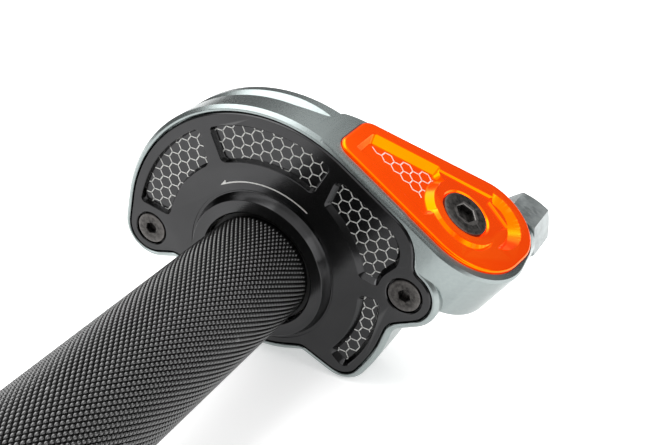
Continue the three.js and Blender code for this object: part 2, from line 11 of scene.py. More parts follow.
import bmesh
import bpy
from mathutils import Euler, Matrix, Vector

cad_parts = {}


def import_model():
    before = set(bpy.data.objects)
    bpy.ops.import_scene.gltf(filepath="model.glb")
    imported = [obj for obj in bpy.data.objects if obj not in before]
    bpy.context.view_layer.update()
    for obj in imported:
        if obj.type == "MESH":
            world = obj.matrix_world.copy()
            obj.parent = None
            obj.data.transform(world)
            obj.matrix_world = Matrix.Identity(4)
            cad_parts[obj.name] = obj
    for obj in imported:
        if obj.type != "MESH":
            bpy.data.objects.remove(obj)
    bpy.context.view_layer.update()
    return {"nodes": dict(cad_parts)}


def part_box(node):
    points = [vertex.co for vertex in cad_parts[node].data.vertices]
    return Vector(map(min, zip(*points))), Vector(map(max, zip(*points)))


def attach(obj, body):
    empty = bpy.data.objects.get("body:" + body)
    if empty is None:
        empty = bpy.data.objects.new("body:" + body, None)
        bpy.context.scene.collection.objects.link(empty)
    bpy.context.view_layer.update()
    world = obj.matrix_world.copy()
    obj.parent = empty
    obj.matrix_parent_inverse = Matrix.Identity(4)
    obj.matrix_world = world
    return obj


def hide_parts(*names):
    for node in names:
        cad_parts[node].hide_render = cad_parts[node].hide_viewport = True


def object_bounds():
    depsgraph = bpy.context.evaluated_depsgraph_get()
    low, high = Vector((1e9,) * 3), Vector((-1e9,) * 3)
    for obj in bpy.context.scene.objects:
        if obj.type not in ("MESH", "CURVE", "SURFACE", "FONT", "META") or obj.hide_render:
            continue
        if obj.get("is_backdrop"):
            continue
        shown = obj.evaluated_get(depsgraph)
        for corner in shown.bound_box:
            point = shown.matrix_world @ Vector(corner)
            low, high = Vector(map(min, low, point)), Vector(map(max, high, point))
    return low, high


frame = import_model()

MM = 0.001

# ---- Sizes -------------------------------------------------------------------------------------


def box_mm(node):
    low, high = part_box(node)
    return low / MM, high / MM


GRIP_FRONT = box_mm("grip_sleeve")[0].y
GRIP_BACK = box_mm("grip_sleeve")[1].y
GRIP_RADIUS = box_mm("grip_sleeve")[1].x
TUBE_RADIUS = 13.0
COVER_BACK = box_mm("front_cover")[1].y
COLLAR_FRONT = box_mm("front_cover")[0].y
CLAMP_BACK = box_mm("bar_clamp_cap")[1].y
CLAMP_HALF_WIDTH = box_mm("bar_clamp_cap")[1].x
CLAMP_FRONT = box_mm("bar_clamp_cap")[0].y
BAR_BORE = 11.4

GAP = 0.3  # between pieces that touch
RIM = 2.0  # width of the housing's edge round the cover
HOUSING_BACK = 16.0
CAVITY_RADIUS = 38.6
CAVITY_BACK = 10.9
DRUM_SEAT = (19.3, 11.6)  # radius, depth
BUSH_SEAT = (15.8, 14.9)
CLAMP_RADIUS = 17.5
LUG_HEIGHT = 9.0
CLAMP_SLOT = 0.6  # half the gap between the clamp's halves
COLLAR_HOLE = 17.2
COLLAR_BASE = 22.5
COLLAR_TOP = 21.2
FLANGE_RECESS = 20.2
FLANGE_SEAT_FRONT = 2.4

TAIL_SLOPE = math.radians(36.74)
TAIL_TOP = 46.6
TAIL_BOTTOM = 29.5
PLATE_TOP = 47.4
PLATE_LIP = 45.6
PLATE_BOTTOM = 43.5
TONGUE = 2.4  # inset of the plate's lower step, which sits in the housing
ROLLER = (29.7, 20.6)
AXLE = 3.7
SCREW_HEAD = 7.0
SCREW_HEAD_SEAT = 45.0
WIRE_RADIUS = 36.5
ADJUSTER_S = 44.0
ADJUSTER_FRONT = 42.7
ADJUSTER_BACK = box_mm("cable_adjuster")[1].y
ADJUSTER_CORNER = 8.9
ADJUSTER_BOSS = 8.2
ROLLER_POCKET = 15.7
BEYOND = 50.0  # past every surface that a cutter has to break through

LEFT_SCREW = (-37.9, 1.8)
RIGHT_SCREW = (44.0, 3.0)
CLAMP_BOLT_X = 16.6
CLAMP_BOLT_Y = 23.7
M5_HOLE = 2.6
M5_THREAD = 2.5

# Outlines are belts round circles: (across, up, radius). A negative radius is a hollow corner.
COVER_BELT = [
    (-0.6, 1.0, 44.1),
    (*LEFT_SCREW, 7.6),
    (-30.5, -9.4, -5.0),
    (0.0, 0.0, 25.4),
    (12.3, -27.2, -4.0),
    (24.9, -21.6, 6.6),
    (0.0, 0.0, 39.4),
    (43.6, -11.5, -5.5),
    (*RIGHT_SCREW, 7.7),
    (50.3, 12.9, -4.0),
    (34.3, 15.1, 12.0),
]
PLATE_BELT = [(ROLLER[0], 21.9, 19.3), (35.3, 27.0, 14.2), (-1.5, 15.7, 5.0), (-2.3, 6.8, 4.2)]
TAIL_BELT = [(ROLLER[0] + 0.6, 20.9, 20.9), (35.3, 27.0, 15.3), (-10.3, 14.8, 2.0), (-9.0, 1.0, 1.0)]

# ---- Outlines ----------------------------------------------------------------------------------


def polar(radius, degrees, centre=(0.0, 0.0)):
    angle = math.radians(degrees)
    return centre[0] + radius * math.cos(angle), centre[1] + radius * math.sin(angle)


def arc(centre, radius, start, end, step=4.0):
    count = max(1, math.ceil(abs(end - start) / step))
    return [polar(radius, start + (end - start) * i / count, centre) for i in range(count + 1)]


def tangent_angle(first, second):
    """Direction, from both centres, of the points that the straight run between two circles touches."""
    (x1, y1, r1), (x2, y2, r2) = first, second
    lean = (r2 - r1) / math.hypot(x2 - x1, y2 - y1)
    direction = math.atan2(y2 - y1, x2 - x1) - math.asin(max(-1.0, min(1.0, lean)))
    return math.degrees(direction) - 90


def belt(circles, offset=0.0, step=2.0):
    """A closed outline round circles, counter-clockwise, moved outwards by offset.

    Arcs over 15 mm in radius are stepped by step degrees and smaller ones four times as coarsely.
    """
    points = []
    for i, circle in enumerate(circles):
        start = tangent_angle(circles[i - 1], circle)
        sweep = (tangent_angle(circle, circles[(i + 1) % len(circles)]) - start) % 360
        if sweep > 359.9:  # a rounding error short of no turn at all
            sweep = 0.0
        if circle[2] < 0 and sweep > 0:
            sweep -= 360
        fine = step if abs(circle[2]) > 15 else 4 * step
        points += arc(circle[:2], circle[2] + offset, start, start + sweep, fine)
    return points


def ring_pocket(inner, outer, start, end, corner=1.6, outer_start=None):
    """A belt round a sector of a ring, with rounded corners; its outer edge may start elsewhere."""
    def rounded(radius, angle, side):
        turn = math.degrees(corner / radius)
        return (*polar(radius, angle + side * turn), corner)

    return [
        rounded(outer - corner, start if outer_start is None else outer_start, 1),
        (0.0, 0.0, outer),
        rounded(outer - corner, end, -1),
        rounded(inner + corner, end, -1),
        (0.0, 0.0, -inner),
        rounded(inner + corner, start, 1),
    ]


# ---- Mesh tools --------------------------------------------------------------------------------


# A frame turns an outline's (u, v) and a depth w into a place. The outline of y_frame and
# adjuster_frame is seen along Y, tail_frame's square to the tail's top face, z_frame's from above.


def y_frame(u, v, w):
    return u, w, v


def tail_frame(s, y, h):
    cos, sin = math.cos(TAIL_SLOPE), math.sin(TAIL_SLOPE)
    return s * cos + h * sin, y, h * cos - s * sin


def adjuster_frame(u, v, w):
    return tail_frame(u, w, v)


def z_frame(u, v, w):
    return u, v, w


def linked(mesh):
    piece = bpy.data.objects.new(mesh.name, mesh)
    bpy.context.scene.collection.objects.link(piece)
    return piece


def mesh_object(vertices, faces):
    """A closed shape, with its doubled points joined and its faces turned outwards."""
    mesh = bpy.data.meshes.new("shape")
    mesh.from_pydata(vertices, [], faces)
    shape = bmesh.new()
    shape.from_mesh(mesh)
    bmesh.ops.remove_doubles(shape, verts=shape.verts, dist=1e-4)
    bmesh.ops.dissolve_degenerate(shape, edges=shape.edges, dist=1e-5)
    bmesh.ops.recalc_face_normals(shape, faces=shape.faces)
    shape.to_mesh(mesh)
    shape.free()
    return linked(mesh)


def loft(rings, place, closed=False):
    """A solid through outlines with equal numbers of points, each a list of (u, v, w).

    When it is closed, the last outline joins on to the first, as round a ring.
    """
    size = len(rings[0])
    vertices = [place(*point) for ring in rings for point in ring]
    faces = []
    last = len(rings) if closed else len(rings) - 1
    for i in range(last):
        for k in range(size):
            a, b = i * size, ((i + 1) % len(rings)) * size
            faces.append((a + k, a + (k + 1) % size, b + (k + 1) % size, b + k))
    if not closed:
        faces.append(tuple(range(size))[::-1])
        faces.append(tuple(range((len(rings) - 1) * size, len(rings) * size)))
    return mesh_object(vertices, faces)


def slab(circles, levels, place, step=2.0):
    """A belt made solid through levels of (offset, depth)."""
    return loft([[(*p, w) for p in belt(circles, o, step)] for o, w in levels], place)


def prism(outline, low, high, place):
    return loft([[(*p, low) for p in outline], [(*p, high) for p in outline]], place)


def turned(profile, place, centre=(0.0, 0.0), segments=96):
    """A turned solid from a profile of (radius, depth), which starts and ends on the axis or is a ring's."""
    rings = []
    for radius, depth in profile:
        outline = [polar(radius, 360 * k / segments, centre) for k in range(segments)]
        rings.append([(*p, depth) for p in outline])
    if profile[0][0] > 0:
        return loft(rings, place, closed=True)
    return loft(rings[1:-1], place)


def disc(radius, low, high, place, centre=(0.0, 0.0), segments=64):
    return turned([(0, low), (radius, low), (radius, high), (0, high)], place, centre, segments)


def block(low, high, place=z_frame):
    (x0, y0, z0), (x1, y1, z1) = low, high
    return prism([(x0, y0), (x1, y0), (x1, y1), (x0, y1)], z0, z1, place)


def evaluated(piece):
    bpy.context.view_layer.update()
    graph = bpy.context.evaluated_depsgraph_get()
    return bpy.data.meshes.new_from_object(piece.evaluated_get(graph))


def combined(base, operation, tools):
    """base after a boolean with each of the tools, which are used up."""
    for tool in tools:
        step = base.modifiers.new("boolean", "BOOLEAN")
        step.operation = operation
        step.solver = "MANIFOLD"
        step.object = tool
    mesh = evaluated(base)
    base.modifiers.clear()
    base.data = mesh
    for tool in tools:
        bpy.data.objects.remove(tool)
    return base


def cut(base, *tools):
    return combined(base, "DIFFERENCE", tools)


def fused(base, *tools):
    return combined(base, "UNION", tools)


def clipped(base, *tools):
    return combined(base, "INTERSECT", tools)


def keep_flats_flat(piece):
    """Weights the smooth shading by area, so that only the narrow bevels between large faces curve."""
    step = piece.modifiers.new("weighted", "WEIGHTED_NORMAL")
    step.mode = "FACE_AREA"
    step.keep_sharp = True
    mesh = evaluated(piece)
    piece.modifiers.clear()
    piece.data = mesh


def ship(piece, name, body, material, replaces=(), smooth=32, weighted=True):
    """Scales a finished shape to metres, and gives it its looks and the body it rides on."""
    piece.name = name
    shape = bmesh.new()
    shape.from_mesh(piece.data)
    bmesh.ops.scale(shape, vec=(MM, MM, MM), verts=shape.verts)
    shape.to_mesh(piece.data)
    shape.free()
    piece.data.shade_smooth()
    piece.data.set_sharp_from_angle(angle=math.radians(smooth))
    if weighted:
        keep_flats_flat(piece)
    piece.data.materials.clear()
    piece.data.materials.append(material)
    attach(piece, body)
    if replaces:
        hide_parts(*replaces)
    return piece


# ---- Materials ---------------------------------------------------------------------------------


class Surface:
    """A procedural material round one Principled shader, laid out in the piece's own metres."""

    def __init__(self, name, metallic, **constants):
        self.material = bpy.data.materials.new(name)
        self.material.use_nodes = True
        self.tree = self.material.node_tree
        self.shader = self.tree.nodes["Principled BSDF"]
        self.shader.inputs["Metallic"].default_value = metallic
        for socket, value in constants.items():
            self.shader.inputs[socket.replace("_", " ")].default_value = value
        self.place = self.tree.nodes.new("ShaderNodeTexCoord").outputs["Object"]

    def node(self, kind, inputs=(), **settings):
        made = self.tree.nodes.new(kind)
        for key, value in settings.items():
            setattr(made, key, value)
        for socket, value in dict(inputs).items():
            if isinstance(value, bpy.types.NodeSocket):
                self.tree.links.new(value, made.inputs[socket])
            else:
                made.inputs[socket].default_value = value
        return made

    def noise(self, scale, detail=3.0, stretch=(1.0, 1.0, 1.0), turn=(0.0, 0.0, 0.0)):
        moved = self.node("ShaderNodeMapping", {"Vector": self.place, "Scale": stretch, "Rotation": turn})
        values = {"Vector": moved.outputs["Vector"], "Scale": scale, "Detail": detail, "Roughness": 0.6}
        return self.node("ShaderNodeTexNoise", values).outputs["Fac"]

    def spread(self, value, low, high, start=0.3, end=0.7):
        """value, from start to end, mapped to low to high."""
        limits = {"Value": value, "From Min": start, "From Max": end, "To Min": low, "To Max": high}
        return self.node("ShaderNodeMapRange", limits).outputs["Result"]

    def blend(self, amount, first, second):
        mixed = self.node("ShaderNodeMix", {"Factor": amount}, data_type="RGBA")
        for socket, value in (("A", first), ("B", second)):
            target = [s for s in mixed.inputs if s.name == socket and s.type == "RGBA"][0]
            if isinstance(value, bpy.types.NodeSocket):
                self.tree.links.new(value, target)
            else:
                target.default_value = (*value, 1.0)
        return [s for s in mixed.outputs if s.type == "RGBA"][0]

    def edges(self, start=0.52, end=0.6):
        """1 along convex edges and 0 on faces."""
        pointed = self.node("ShaderNodeNewGeometry").outputs["Pointiness"]
        return self.spread(pointed, 0.0, 1.0, start, end)

    def sum(self, *values):
        total = values[0]
        for value in values[1:]:
            total = self.node("ShaderNodeMath", {0: total, 1: value}, operation="ADD").outputs[0]
        return total

    def times(self, value, factor):
        return self.node("ShaderNodeMath", {0: value, 1: factor}, operation="MULTIPLY").outputs[0]

    def colour(self, value):
        self.tree.links.new(value, self.shader.inputs["Base Color"])

    def roughness(self, value):
        self.tree.links.new(value, self.shader.inputs["Roughness"])

    def bump(self, height, distance, strength=1.0):
        values = {"Height": height, "Distance": distance, "Strength": strength}
        made = self.node("ShaderNodeBump", values)
        self.tree.links.new(made.outputs["Normal"], self.shader.inputs["Normal"])


def titanium_anodised():
    look = Surface("titanium_anodised", 0.97)
    broad = look.noise(28.0, 3.0)
    milled = look.noise(900.0, 2.0, stretch=(1.0, 0.06, 1.0))
    grain = look.noise(5200.0, 2.0)
    tone = look.blend(look.spread(broad, 0.0, 1.0), (0.235, 0.268, 0.265), (0.275, 0.31, 0.306))
    tone = look.blend(look.spread(milled, 0.0, 0.14), tone, (0.42, 0.47, 0.46))
    look.colour(look.blend(look.times(look.edges(), 0.22), tone, (0.7, 0.76, 0.75)))
    look.roughness(look.sum(look.spread(broad, 0.22, 0.28), look.spread(grain, 0.0, 0.06)))
    look.bump(look.sum(look.times(milled, 0.5), look.times(grain, 0.5)), 0.0000025)
    return look.material


def black_anodised():
    look = Surface("black_anodised", 1.0)
    broad = look.noise(40.0, 3.0)
    grain = look.noise(6000.0, 2.0)
    turned_lines = look.node(
        "ShaderNodeTexWave",
        {"Vector": look.place, "Scale": 480.0, "Distortion": 0.6, "Detail": 2.0},
        wave_type="RINGS",
        rings_direction="Y",
    ).outputs["Fac"]
    tone = look.blend(look.spread(broad, 0.0, 1.0), (0.04, 0.04, 0.041), (0.05, 0.05, 0.051))
    look.colour(look.blend(look.times(look.edges(0.53, 0.62), 0.3), tone, (0.16, 0.16, 0.16)))
    look.roughness(look.sum(look.spread(broad, 0.13, 0.18), look.spread(grain, 0.0, 0.05)))
    look.bump(look.sum(look.times(turned_lines, 0.5), look.times(grain, 0.5)), 0.000004)
    return look.material


def orange_anodised_painted_glow():
    # Painted light: the emission makes the orange plate glow by itself, adding to what the lamps light.
    look = Surface(
        "orange_anodised_painted_glow", 1.0, Emission_Color=(1.0, 0.042, 0.0, 1.0), Emission_Strength=0.66,
    )
    broad = look.noise(60.0, 3.0)
    brushed = look.noise(1600.0, 2.0, stretch=(0.07, 1.0, 0.07), turn=(0.0, 0.0, 0.6))
    grain = look.noise(6500.0, 2.0)
    tone = look.blend(look.spread(broad, 0.0, 1.0), (1.0, 0.138, 0.0), (1.0, 0.165, 0.0))
    look.colour(look.blend(look.times(look.edges(), 0.3), tone, (1.0, 0.4, 0.02)))
    look.roughness(look.sum(look.spread(broad, 0.17, 0.21), look.spread(brushed, 0.0, 0.03)))
    look.bump(look.sum(look.times(brushed, 0.4), look.times(grain, 0.6)), 0.0000012)
    return look.material


def black_oxide():
    look = Surface("black_oxide", 0.85)
    blotches = look.noise(900.0, 4.0)
    grain = look.noise(4200.0, 3.0)
    mottle = look.spread(blotches, 0.0, 1.0, 0.36, 0.66)
    tone = look.blend(mottle, (0.016, 0.0152, 0.0145), (0.078, 0.073, 0.069))
    look.colour(look.blend(look.times(look.edges(0.51, 0.58), 0.5), tone, (0.26, 0.245, 0.235)))
    look.roughness(look.sum(look.spread(blotches, 0.22, 0.36), look.spread(grain, 0.0, 0.1)))
    look.bump(look.sum(look.times(blotches, 0.5), look.times(grain, 0.5)), 0.00002)
    return look.material


def grip_rubber():
    look = Surface("grip_rubber", 0.0, IOR=1.75)
    # Painted shade in the grooves: the specular level falls almost to nothing in the valleys, so they stay
    # dark while the diamond tops shine.
    shine_and_groove_shade = look.spread(look.node("ShaderNodeNewGeometry").outputs["Pointiness"], 0.02, 1.0, 0.49, 0.61)
    look.tree.links.new(shine_and_groove_shade, look.shader.inputs["Specular IOR Level"])
    broad = look.noise(70.0, 3.0)
    grain = look.noise(3500.0, 3.0)
    tone = look.blend(look.spread(broad, 0.0, 1.0), (0.004, 0.004, 0.004), (0.007, 0.007, 0.007))
    look.colour(look.blend(look.spread(grain, 0.0, 0.3, 0.5, 0.8), tone, (0.02, 0.02, 0.0195)))
    look.roughness(look.sum(look.spread(broad, 0.13, 0.19), look.spread(grain, 0.0, 0.06)))
    look.bump(grain, 0.00002)
    return look.material


def etched_line(name, tone):
    look = Surface(name, 0.6)
    grain = look.noise(4000.0, 3.0)
    dull = tuple(0.82 * c for c in tone)
    look.colour(look.blend(look.spread(grain, 0.0, 1.0), dull, tone))
    look.roughness(look.spread(grain, 0.42, 0.6))
    look.bump(grain, 0.000006)
    return look.material


def bare_aluminium():
    look = Surface("bare_aluminium", 1.0, Anisotropic=0.4)
    broad = look.noise(120.0, 3.0)
    turned_lines = look.noise(2200.0, 2.0, stretch=(1.0, 0.1, 1.0))
    look.colour(look.blend(look.spread(broad, 0.0, 1.0), (0.66, 0.68, 0.69), (0.76, 0.78, 0.79)))
    look.roughness(look.sum(look.spread(broad, 0.25, 0.34), look.spread(turned_lines, 0.0, 0.08)))
    look.bump(turned_lines, 0.00001)
    return look.material


def bearing_steel():
    look = Surface("bearing_steel", 1.0)
    ground = look.noise(3000.0, 2.0, stretch=(1.0, 1.0, 0.1))
    look.colour(look.blend(look.spread(ground, 0.0, 1.0), (0.6, 0.6, 0.59), (0.7, 0.7, 0.69)))
    look.roughness(look.spread(ground, 0.14, 0.24))
    look.bump(ground, 0.000004)
    return look.material


def worn_titanium():
    look = Surface("worn_titanium", 0.95)
    blotches = look.noise(260.0, 5.0)
    scratches = look.noise(1500.0, 4.0, stretch=(0.12, 1.0, 1.0), turn=(0.4, 0.2, 0.7))
    mottle = look.spread(blotches, 0.0, 1.0, 0.35, 0.65)
    tone = look.blend(mottle, (0.16, 0.18, 0.18), (0.33, 0.36, 0.36))
    tone = look.blend(look.spread(scratches, 0.0, 0.5, 0.5, 0.75), tone, (0.5, 0.54, 0.54))
    look.colour(look.blend(look.times(look.edges(), 0.3), tone, (0.7, 0.74, 0.74)))
    look.roughness(look.sum(look.spread(blotches, 0.28, 0.4), look.spread(scratches, 0.0, 0.1)))
    look.bump(look.sum(look.times(blotches, 0.5), look.times(scratches, 0.5)), 0.00004)
    return look.material


def moulded(name, dark, light, roughness):
    look = Surface(name, 0.0)
    grain = look.noise(2600.0, 4.0)
    look.colour(look.blend(look.spread(grain, 0.0, 1.0), dark, light))
    look.roughness(look.spread(grain, roughness, roughness + 0.12))
    look.bump(grain, 0.00002)
    return look.material


TITANIUM = titanium_anodised()
BLACK = black_anodised()
ORANGE = orange_anodised_painted_glow()
OXIDE = black_oxide()
RUBBER = grip_rubber()
SILVER_LINE = etched_line("silver_line", (0.6, 0.6, 0.58))
PALE_LINE = etched_line("pale_line", (1.0, 0.86, 0.78))
WORN = worn_titanium()
ALUMINIUM = bare_aluminium()
STEEL = bearing_steel()
PLASTIC = moulded("bush_plastic", (0.72, 0.7, 0.63), (0.82, 0.8, 0.74), 0.42)
SEAL = moulded("seal_rubber", (0.012, 0.012, 0.012), (0.025, 0.025, 0.024), 0.5)

# ---- Housing -----------------------------------------------------------------------------------


GROOVE_START = 68.7  # degrees, where the groove runs out at the tail
GROOVE_STEP = 1.5
GROOVE_FADE = 12.0
GROOVE_DEPTH = 1.8


def top_groove():
    """A wedge-shaped groove round the top of the casing, which runs out to a point at the tail."""
    x, z, radius = COVER_BELT[0]
    outer = radius + RIM
    rings = []
    for k in range(81):
        angle = GROOVE_START + k * GROOVE_STEP
        full = min(1.0, (angle - GROOVE_START) / GROOVE_FADE) ** 0.6
        front = 11.4 - 3.0 * full
        back = 11.45 + 1.35 * full
        floor = [(outer - GROOVE_DEPTH * full, front + 0.15 * full), (outer - 1.5 * full, front)]
        section = [(outer + 1, front), (outer + 1, back), (outer, back)] + floor
        rings.append([(*polar(r, angle, (x, z)), y) for r, y in section])
    return loft(rings, y_frame)


def tail_solid():
    """The housing's arm to the cable roller, with the adjuster's boss, trimmed to the casing's line."""
    levels = [
        (-0.6, TAIL_BOTTOM), (0.0, TAIL_BOTTOM + 0.6), (0.0, TAIL_TOP - 0.85),
        (-0.08, TAIL_TOP - 0.66), (-0.6, TAIL_TOP - 0.06), (-0.75, TAIL_TOP),
    ]
    boss = turned(
        [(0, 30), (ADJUSTER_BOSS, 30), (ADJUSTER_BOSS, 41.8), (ADJUSTER_BOSS - 0.5, 42.4), (0, 42.4)],
        adjuster_frame, (ADJUSTER_S, WIRE_RADIUS),
    )
    arm = fused(slab(TAIL_BELT, levels, tail_frame), boss)
    x, z, radius = COVER_BELT[0]
    reach = 80.0
    near = (x, z, radius + RIM - 0.02)
    far = (x + reach * math.cos(TAIL_SLOPE), z - reach * math.sin(TAIL_SLOPE), radius + RIM)
    return clipped(arm, slab([near, far], [(0, -1), (0, 60)], y_frame))


def clamp_half(start, end, front, lug_low, lug_high):
    """Half of the handlebar clamp: an arc of its ring from start to end degrees, and its two lugs."""
    ring = prism(arc((0, 0), CLAMP_RADIUS, start, end, 3), front, CLAMP_BACK, y_frame)
    lugs = block((-CLAMP_HALF_WIDTH, front, lug_low), (CLAMP_HALF_WIDTH, CLAMP_BACK, lug_high))
    return ring, lugs


def housing():
    front = [(RIM - 1.02, 0.0), (RIM - 0.92, 0.04), (RIM - 0.1, 0.86), (RIM, 1.05)]
    back = [(RIM, 15.1), (RIM - 0.08, 15.3), (RIM - 0.75, 15.94), (RIM - 0.9, HOUSING_BACK)]
    body = slab(COVER_BELT, front + back, y_frame)
    body = fused(body, tail_solid(), *clamp_half(2, 178, 14, CLAMP_SLOT, LUG_HEIGHT))

    recess_levels = [(GAP + 0.3, -1), (GAP + 0.2, 0), (GAP, 0.2), (GAP, COVER_BACK + GAP)]
    recess = slab(COVER_BELT, recess_levels, y_frame)
    cavity = clipped(
        disc(CAVITY_RADIUS, 3, CAVITY_BACK, y_frame),
        slab(COVER_BELT, [(-0.8, 2), (-0.8, 12)], y_frame),
    )
    cavity = cut(cavity, disc(8.0, 2, 12, y_frame, LEFT_SCREW))
    (drum, drum_back), (bush, bush_back) = DRUM_SEAT, BUSH_SEAT
    bore = turned(
        [(0, 10), (drum, 10), (drum, drum_back), (bush, drum_back), (bush, bush_back),
         (BAR_BORE, bush_back), (BAR_BORE, CLAMP_BACK - 0.5), (BAR_BORE + 0.8, 40), (0, 40)],
        y_frame,
    )
    screws = [disc(M5_THREAD, 3, 14, y_frame, at, 24) for at in (LEFT_SCREW, RIGHT_SCREW)]
    bolts = []
    for side in (-1, 1):
        bolts.append(disc(M5_HOLE, 0, 7.5, z_frame, (side * CLAMP_BOLT_X, CLAMP_BOLT_Y), 24))
    tail_cuts = [
        disc(ROLLER_POCKET, 32.6, BEYOND, tail_frame, ROLLER),
        slab(PLATE_BELT, [(GAP, PLATE_LIP - GAP), (GAP, BEYOND)], tail_frame),
        slab(PLATE_BELT, [(GAP - TONGUE, PLATE_BOTTOM - GAP), (GAP - TONGUE, BEYOND)], tail_frame),
        block((-5, 5, 34.4), (ROLLER[0], 9.2, 38.6), tail_frame),
        disc(4.0, 20, 40, tail_frame, ROLLER, 32),
        disc(5.0, 26, 45, adjuster_frame, (ADJUSTER_S, WIRE_RADIUS), 32),
    ]
    body = cut(body, recess, cavity, bore, top_groove(), *screws, *bolts, *tail_cuts)
    ship(body, "housing_shell", "casing", TITANIUM, ["housing"], smooth=19)


def clamp_cap():
    body = fused(*clamp_half(182, 358, CLAMP_FRONT, -LUG_HEIGHT, -CLAMP_SLOT))
    tools = [turned(
        [(0, 0), (BAR_BORE, 0), (BAR_BORE, CLAMP_BACK - 0.5), (BAR_BORE + 0.8, 40), (0, 40)], y_frame,
    )]
    for side in (-1, 1):
        centre = (side * CLAMP_BOLT_X, CLAMP_BOLT_Y)
        tools.append(disc(M5_HOLE, -14, 2, z_frame, centre, 24))
        tools.append(disc(4.95, -14, -7.4, z_frame, centre, 48))
    body = cut(body, *tools)
    ship(body, "bar_clamp_cap_shell", "casing", TITANIUM, ["bar_clamp_cap"])


# ---- Front cover -------------------------------------------------------------------------------

FLOOR = 1.5  # depth of the cover's pockets
SLANT_POCKET = [
    (34.3, 15.1, 8.1),
    (25.2, 29.2, 2.2),
    (22.05, 24.15, 1.4),
    (0.0, 0.0, -31.2),
    (32.43, 6.6, 1.8),
    (35.25, 5.2, 1.3),
    (*RIGHT_SCREW, -7.65),
    (39.95, 11.95, 1.6),
]
# Each pocket's outline, how far its floor is inset, and where one of its honeycomb cells lies.
POCKETS = [
    (ring_pocket(31.7, 42.0, 119.5, 165.5, 1.6, 116.5), 0.5, (-24.587, 30.871)),
    (ring_pocket(31.1, 41.5, 57.5, 111.0), 0.5, (-12.685, 36.339)),
    (SLANT_POCKET, 1.1, (25.676, 24.141)),
    (ring_pocket(30.7, 37.0, -45.0, -1.0, 2.0), 1.1, (33.333, -3.158)),
]
HEX_PITCH = 3.481
HEX_TURN = 23.737
LINE_WIDTH = 0.3
ARROW_OUTER, ARROW_INNER = 25.5, 25.12
ARROW_START, ARROW_NECK, ARROW_TIP = 53.0, 114.0, 118.6  # degrees round the collar


def front_cover():
    levels = [(-0.5, 0.0), (-0.42, 0.05), (-0.06, 0.4), (0.0, 0.52), (0.0, COVER_BACK)]
    collar = turned(
        [(0, COLLAR_FRONT), (COLLAR_TOP - 0.12, COLLAR_FRONT), (COLLAR_TOP, COLLAR_FRONT + 0.08),
         (COLLAR_BASE, 0), (COLLAR_BASE, 1), (0, 1)],
        y_frame, segments=160,
    )
    body = fused(slab(COVER_BELT, levels, y_frame), collar)
    hole = turned(
        [(0, -5), (COLLAR_HOLE + 1.1, -5), (COLLAR_HOLE + 0.5, COLLAR_FRONT),
         (COLLAR_HOLE, COLLAR_FRONT + 0.5), (COLLAR_HOLE, FLANGE_SEAT_FRONT),
         (FLANGE_RECESS, FLANGE_SEAT_FRONT), (FLANGE_RECESS, 5), (0, 5)],
        y_frame, segments=160,
    )
    foot = COLLAR_BASE + 0.25
    line = turned(
        [(foot, -0.5), (foot + 0.75, -0.5), (foot + 0.6, 0.14), (foot + 0.15, 0.14)], y_frame, segments=160,
    )
    tools = [hole, line]
    for circles, inset, _ in POCKETS:
        walls = [(0.25, -1.0), (0.2, 0.0), (0.0, 0.15), (0.08 - inset, FLOOR - 0.12), (-inset, FLOOR)]
        tools.append(slab(circles, walls, y_frame, 3.0))
    for at in (LEFT_SCREW, RIGHT_SCREW):
        tools.append(turned(
            [(0, -1), (5.6, -1), (5.45, 0), (5.2, 0.22), (5.2, 2.2), (2.7, 2.2), (2.7, 5), (0, 5)],
            y_frame, at, 64,
        ))
    ship(cut(body, *tools), "front_cover_shell", "casing", BLACK, ["front_cover"])


def inside(point, outline):
    x, y = point
    odd = False
    for (x1, y1), (x2, y2) in zip(outline, outline[1:] + outline[:1]):
        if (y1 > y) != (y2 > y) and x < (x2 - x1) * (y - y1) / (y2 - y1) + x1:
            odd = not odd
    return odd


def hex_edges(origin, pitch, turn, count=9):
    """Each edge once, of a honeycomb round origin."""
    side = pitch / math.sqrt(3)
    edges = {}
    for i in range(-count, count + 1):
        for j in range(-count, count + 1):
            across, down = pitch * (i + 0.5 * j), -pitch * math.sqrt(0.75) * j
            distance, angle = math.hypot(across, down), math.degrees(math.atan2(down, across))
            centre = polar(distance, angle + turn, origin)
            corners = [polar(side, turn + 30 + 60 * k, centre) for k in range(6)]
            for a, b in zip(corners, corners[1:] + corners[:1]):
                key = round((a[0] + b[0]) / 2, 2), round((a[1] + b[1]) / 2, 2)
                edges.setdefault(key, (a, b))
    return list(edges.values())


def kept_part(a, b, outline, steps=40):
    """The stretch of an edge that lies inside the outline, or None."""
    points = []
    for k in range(steps + 1):
        points.append((a[0] + (b[0] - a[0]) * k / steps, a[1] + (b[1] - a[1]) * k / steps))
    found = [p for p in points if inside(p, outline)]
    return (found[0], found[-1]) if len(found) > steps // 5 else None


def line_strips(segments, width, low, high, place):
    """Thin raised bars along segments, with their ends run a little past the corners."""
    vertices, faces = [], []
    overrun = 0.28 * width
    for start, end in segments:
        along = (Vector(end) - Vector(start)).normalized()
        side = Vector((-along.y, along.x)) * width / 2
        near = Vector(start) - along * overrun
        far = Vector(end) + along * overrun
        base = [near - side, far - side, far + side, near + side]
        first = len(vertices)
        vertices += [place(*p, low) for p in base] + [place(*p, high) for p in base]
        faces += [(first + 3, first + 2, first + 1, first), (first + 4, first + 5, first + 6, first + 7)]
        faces += [(first + k, first + (k + 1) % 4, first + 4 + (k + 1) % 4, first + 4 + k) for k in range(4)]
    mesh = bpy.data.meshes.new("lines")
    mesh.from_pydata(vertices, [], faces)
    shape = bmesh.new()
    shape.from_mesh(mesh)
    bmesh.ops.recalc_face_normals(shape, faces=shape.faces)
    shape.to_mesh(mesh)
    shape.free()
    return linked(mesh)


